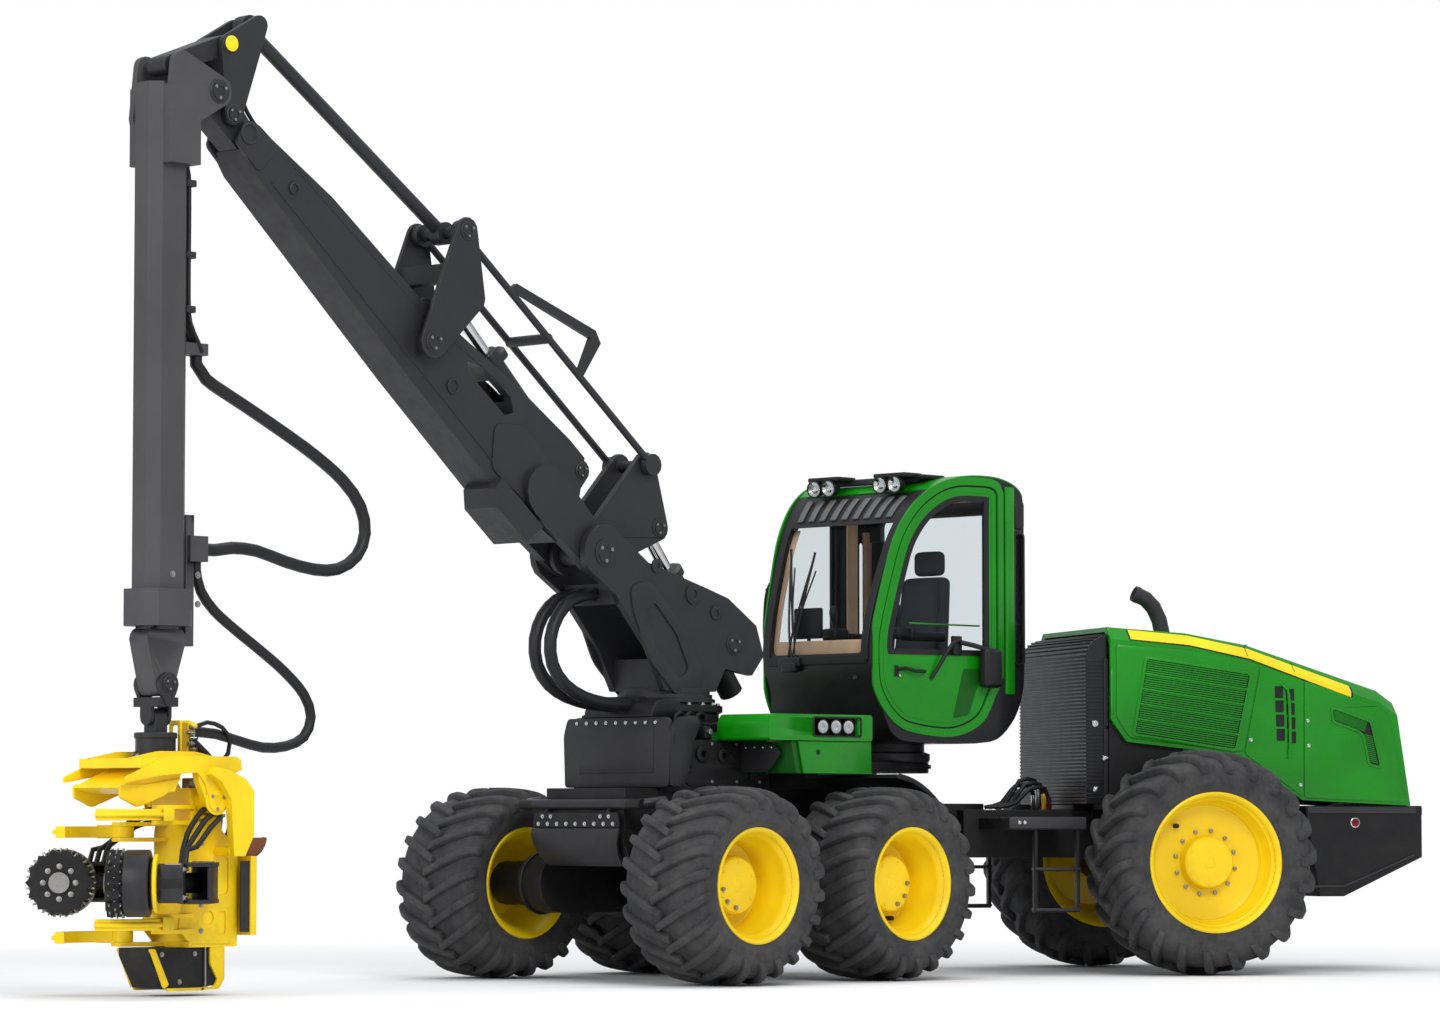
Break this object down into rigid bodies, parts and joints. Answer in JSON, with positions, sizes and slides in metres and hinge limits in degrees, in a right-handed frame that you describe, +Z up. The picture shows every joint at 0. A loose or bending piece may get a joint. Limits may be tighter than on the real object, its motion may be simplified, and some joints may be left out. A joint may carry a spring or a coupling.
{
  "type": "forestry harvester",
  "caption": "Articulated six-wheeled forestry harvester with a turning glazed cab, a parallel crane with telescoping stick and a hanging harvesting head",
  "frame": {"origin": "on the ground, under the middle of the whole machine's outline as parked with its crane out ahead", "axes": "+X forward along the front unit and crane, +Y to the machine's left, +Z up; the rear unit is turned 29.6 degrees about the middle joint"},
  "size_m": [11.0568, 4.017, 6.172],
  "materials": {
    "black": "satin black paint",
    "crane": "charcoal grey crane paint, dusty",
    "engine": "plain engine block",
    "glass": "lightly tinted polycarbonate",
    "green": "gloss forestry green paint",
    "hose": "black sleeved hydraulic hose bundle",
    "seat": "grey seat fabric",
    "steel": "polished cylinder rod",
    "tyre": "black tyre rubber, dusty",
    "yellow": "gloss yellow paint"
  },
  "bodies": {
    "carrier": {"front_frame": "black", "front_axle": "black", "crane_shield": "black", "deck_cover_left": "green", "deck_cover_right": "green", "base_hose_left": "hose", "base_hose_right": "hose"},
    "rear_unit": {"rear_frame": "black", "rear_axle": "black", "engine_block": "engine", "radiator_intake": "black"},
    "hood": {"hood": "green"},
    "cab": {"cab_shell": "green", "glass_windshield": "glass", "glass_rear": "glass", "glass_right": "glass", "seat": "seat"},
    "cab_door": {"cab_door": "green", "glass_door": "glass"},
    "pillar": {"pillar": "crane"},
    "lift_barrel": {"lift_barrel": "crane"},
    "lift_rod": {"lift_rod": "steel"},
    "bell_crank": {"bell_crank": "crane"},
    "boom": {"main_boom": "crane"},
    "rocker": {"rocker": "crane"},
    "struts": {"rocker_struts": "crane"},
    "long_rod": {"long_rod": "crane"},
    "tip_crank": {"tip_crank": "crane"},
    "tip_link": {"tip_link": "crane"},
    "jib_barrel": {"jib_barrel": "crane"},
    "jib_rod": {"jib_rod": "steel"},
    "stick": {"stick": "crane", "hose_upper": "hose"},
    "telescope": {"telescope": "crane", "hose_lower": "hose"},
    "knuckle": {"knuckle": "crane"},
    "rotator": {"rotator": "crane"},
    "yoke": {"head_yoke": "yellow"},
    "head": {"head_frame": "yellow", "saw_box": "black"},
    "wheel_front_left": {"tyre_front_left": "tyre", "rim_front_left": "yellow"},
    "wheel_front_right": {"tyre_front_right": "tyre", "rim_front_right": "yellow"},
    "wheel_middle_left": {"tyre_middle_left": "tyre", "rim_middle_left": "yellow"},
    "wheel_middle_right": {"tyre_middle_right": "tyre", "rim_middle_right": "yellow"},
    "wheel_rear_left": {"tyre_rear_left": "tyre", "rim_rear_left": "yellow"},
    "wheel_rear_right": {"tyre_rear_right": "tyre", "rim_rear_right": "yellow"},
    "knife_upper_left": {"knife_upper_left": "yellow"},
    "knife_upper_right": {"knife_upper_right": "yellow"},
    "knife_lower_left": {"knife_lower_left": "yellow"},
    "knife_lower_right": {"knife_lower_right": "yellow"},
    "feed_arm_left": {"feed_arm_left": "black"},
    "feed_roller_left": {"feed_roller_left": "black"},
    "feed_arm_right": {"feed_arm_right": "black"},
    "feed_roller_right": {"feed_roller_right": "black"}
  },
  "joints": [
    {"name": "steering", "type": "hinge", "parent": "carrier", "child": "rear_unit", "pos_m": [-1.809, -0.55, 0], "axis": [0, 0, -1], "range_deg": [-71.63, 12.37]},
    {"name": "wheel_front_left_roll", "type": "hinge", "parent": "carrier", "child": "wheel_front_left", "pos_m": [0.945, 0.55, 0.655], "axis": [0, 1, 0], "continuous": true},
    {"name": "wheel_front_right_roll", "type": "hinge", "parent": "carrier", "child": "wheel_front_right", "pos_m": [0.945, -1.65, 0.655], "axis": [0, 1, 0], "continuous": true},
    {"name": "wheel_middle_left_roll", "type": "hinge", "parent": "carrier", "child": "wheel_middle_left", "pos_m": [-0.555, 0.55, 0.655], "axis": [0, 1, 0], "continuous": true},
    {"name": "wheel_middle_right_roll", "type": "hinge", "parent": "carrier", "child": "wheel_middle_right", "pos_m": [-0.555, -1.65, 0.655], "axis": [0, 1, 0], "continuous": true},
    {"name": "wheel_rear_left_roll", "type": "hinge", "parent": "rear_unit", "child": "wheel_rear_left", "pos_m": [-2.99842, 1.39199, 0.79], "axis": [0.4944, 0.8692, 0], "continuous": true},
    {"name": "wheel_rear_right_roll", "type": "hinge", "parent": "rear_unit", "child": "wheel_rear_right", "pos_m": [-4.08609, -0.52033, 0.79], "axis": [0.4944, 0.8692, 0], "continuous": true},
    {"name": "hood_lift", "type": "hinge", "parent": "rear_unit", "child": "hood", "pos_m": [-5.08602, 1.31388, 1.19], "axis": [-0.4944, -0.8692, 0], "range_deg": [0, 50]},
    {"name": "cab_turn", "type": "hinge", "parent": "carrier", "child": "cab", "pos_m": [-1.805, -0.55, 1.64], "axis": [0, 0, -1], "range_deg": [-80, 80]},
    {"name": "door_swing", "type": "hinge", "parent": "cab", "child": "cab_door", "pos_m": [-2.16935, 0.236, 1.64], "axis": [0, 0, 1], "range_deg": [0, 80]},
    {"name": "crane_turn", "type": "hinge", "parent": "carrier", "child": "pillar", "pos_m": [0.395, -0.55, 1.88], "axis": [0, 0, -1], "range_deg": [-110, 110], "deforming": ["base_hose_left", "base_hose_right"]},
    {"name": "boom_lift", "type": "hinge", "parent": "pillar", "child": "bell_crank", "pos_m": [1.225, -0.55, 2.87], "axis": [0, -1, 0], "range_deg": [-20, 20]},
    {"name": "lift_barrel_tilt", "type": "hinge", "parent": "pillar", "child": "lift_barrel", "pos_m": [-0.005, -0.55, 2.29], "axis": [0, -1, 0], "range_deg": [-12, 6]},
    {"name": "lift_rod_stroke", "type": "slide", "parent": "lift_barrel", "child": "lift_rod", "axis": [0.6097, 0, 0.7926], "range_m": [-0.25, 0.28]},
    {"name": "boom_reach", "type": "hinge", "parent": "bell_crank", "child": "boom", "pos_m": [1.225, -0.55, 2.87], "axis": [0, -1, 0], "range_deg": [-30, 8]},
    {"name": "rocker_swing", "type": "hinge", "parent": "boom", "child": "rocker", "pos_m": [2.75532, -0.55, 4.17952], "axis": [0, -1, 0], "range_deg": [-12, 35]},
    {"name": "struts_swing", "type": "hinge", "parent": "rocker", "child": "struts", "pos_m": [2.46588, -0.55, 4.92962], "axis": [0, -1, 0], "range_deg": [-32, 10]},
    {"name": "long_rod_swing", "type": "hinge", "parent": "rocker", "child": "long_rod", "pos_m": [2.46588, -0.55, 4.92962], "axis": [0, -1, 0], "range_deg": [-36, 12]},
    {"name": "tip_crank_swing", "type": "hinge", "parent": "boom", "child": "tip_crank", "pos_m": [4.35487, -0.55, 5.50914], "axis": [0, -1, 0], "range_deg": [-15, 45]},
    {"name": "tip_link_swing", "type": "hinge", "parent": "tip_crank", "child": "tip_link", "pos_m": [4.39493, -0.55, 5.94932], "axis": [0, -1, 0], "range_deg": [-12, 6]},
    {"name": "stick_swing", "type": "hinge", "parent": "boom", "child": "stick", "pos_m": [4.52534, -0.55, 5.62952], "axis": [0, -1, 0], "range_deg": [-20, 66]},
    {"name": "jib_barrel_tilt", "type": "hinge", "parent": "boom", "child": "jib_barrel", "pos_m": [1.3351, -0.55, 3.41959], "axis": [0, -1, 0], "range_deg": [-6, 3]},
    {"name": "jib_rod_stroke", "type": "slide", "parent": "jib_barrel", "child": "jib_rod", "axis": [0.7028, 0, 0.7114], "range_m": [-0.27, 0.1]},
    {"name": "telescope_stroke", "type": "slide", "parent": "stick", "child": "telescope", "axis": [0, 0, -1], "range_m": [0, 1.8], "deforming": ["hose_upper"]},
    {"name": "knuckle_swing", "type": "hinge", "parent": "telescope", "child": "knuckle", "pos_m": [4.835, -0.55, 1.92], "axis": [0, -1, 0], "range_deg": [-30, 30], "deforming": ["hose_lower"]},
    {"name": "rotator_swing", "type": "hinge", "parent": "knuckle", "child": "rotator", "pos_m": [4.835, -0.55, 1.72], "axis": [1, 0, 0], "range_deg": [-25, 25]},
    {"name": "head_turn", "type": "hinge", "parent": "rotator", "child": "yoke", "pos_m": [4.835, -0.55, 1.47], "axis": [0, 0, 1], "continuous": true},
    {"name": "head_tilt", "type": "hinge", "parent": "yoke", "child": "head", "pos_m": [4.595, -0.55, 1.2], "axis": [0, 1, 0], "range_deg": [0, 90]},
    {"name": "knife_upper_left_swing", "type": "hinge", "parent": "head", "child": "knife_upper_left", "pos_m": [4.93, -0.355, 0.33], "axis": [0, 0, 1], "range_deg": [-5, 35]},
    {"name": "knife_upper_right_swing", "type": "hinge", "parent": "head", "child": "knife_upper_right", "pos_m": [4.93, -0.745, 0.33], "axis": [0, 0, -1], "range_deg": [-5, 35]},
    {"name": "knife_lower_left_swing", "type": "hinge", "parent": "head", "child": "knife_lower_left", "pos_m": [4.93, -0.355, 0.33], "axis": [0, 0, 1], "range_deg": [-5, 35]},
    {"name": "knife_lower_right_swing", "type": "hinge", "parent": "head", "child": "knife_lower_right", "pos_m": [4.93, -0.745, 0.33], "axis": [0, 0, -1], "range_deg": [-5, 35]},
    {"name": "feed_arm_left_swing", "type": "hinge", "parent": "head", "child": "feed_arm_left", "pos_m": [4.695, -0.25, 0.7], "axis": [0, 0, 1], "range_deg": [-5, 25]},
    {"name": "feed_roller_left_spin", "type": "hinge", "parent": "feed_arm_left", "child": "feed_roller_left", "pos_m": [5.295, -0.22, 0.7], "axis": [0.7071, -0.7071, 0], "continuous": true},
    {"name": "feed_arm_right_swing", "type": "hinge", "parent": "head", "child": "feed_arm_right", "pos_m": [4.695, -0.85, 0.7], "axis": [0, 0, -1], "range_deg": [-5, 25]},
    {"name": "feed_roller_right_spin", "type": "hinge", "parent": "feed_arm_right", "child": "feed_roller_right", "pos_m": [5.295, -0.88, 0.7], "axis": [0.7071, 0.7071, 0], "continuous": true}
  ],
  "couplings": [
    {"joint": "lift_barrel_tilt", "follows": "boom_lift", "ratio": 0.24},
    {"joint": "lift_rod_stroke", "follows": "boom_lift", "m_per_rad": -0.6},
    {"joint": "rocker_swing", "follows": "boom_reach", "ratio": -0.995},
    {"joint": "tip_crank_swing", "follows": "boom_reach", "ratio": -1.283},
    {"joint": "stick_swing", "follows": "boom_reach", "ratio": -1.959},
    {"joint": "tip_link_swing", "follows": "boom_reach", "ratio": 0.155},
    {"joint": "long_rod_swing", "follows": "boom_reach", "ratio": 1.006},
    {"joint": "struts_swing", "follows": "boom_reach", "ratio": 0.882},
    {"joint": "jib_rod_stroke", "follows": "boom_reach", "m_per_rad": 0.455},
    {"joint": "jib_barrel_tilt", "follows": "boom_reach", "ratio": 0.088},
    {"joint": "knife_upper_right_swing", "follows": "knife_upper_left_swing", "ratio": 1},
    {"joint": "knife_lower_left_swing", "follows": "knife_upper_left_swing", "ratio": 1},
    {"joint": "knife_lower_right_swing", "follows": "knife_upper_left_swing", "ratio": 1},
    {"joint": "feed_arm_right_swing", "follows": "feed_arm_left_swing", "ratio": 1}
  ]
}
